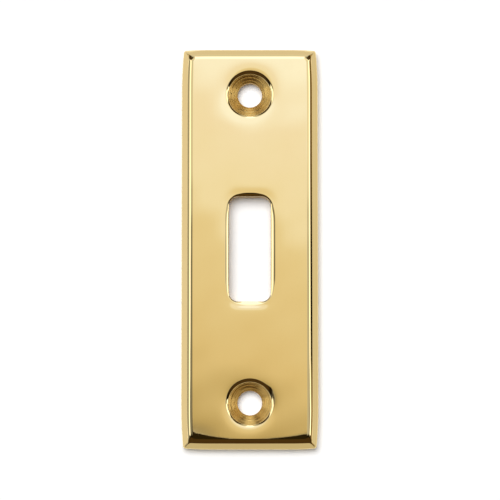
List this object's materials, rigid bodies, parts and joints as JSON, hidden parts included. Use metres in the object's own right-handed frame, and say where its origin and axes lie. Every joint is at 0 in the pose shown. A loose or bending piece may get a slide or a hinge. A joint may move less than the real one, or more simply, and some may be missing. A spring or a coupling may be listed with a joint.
{
  "type": "door strike plate",
  "caption": "Flat polished brass strike plate with bevelled sides, a rounded slot for the bolt in the middle and a countersunk screw hole near each end.",
  "frame": {"origin": "middle of the flat back face, which lies on the door frame", "axes": "+Z out of the polished face, +Y along the length, X across the plate"},
  "size_m": [0.025, 0.0734, 0.003],
  "materials": {
    "brass": "polished"
  },
  "bodies": {
    "root": {"strike_plate": "brass"}
  },
  "joints": []
}
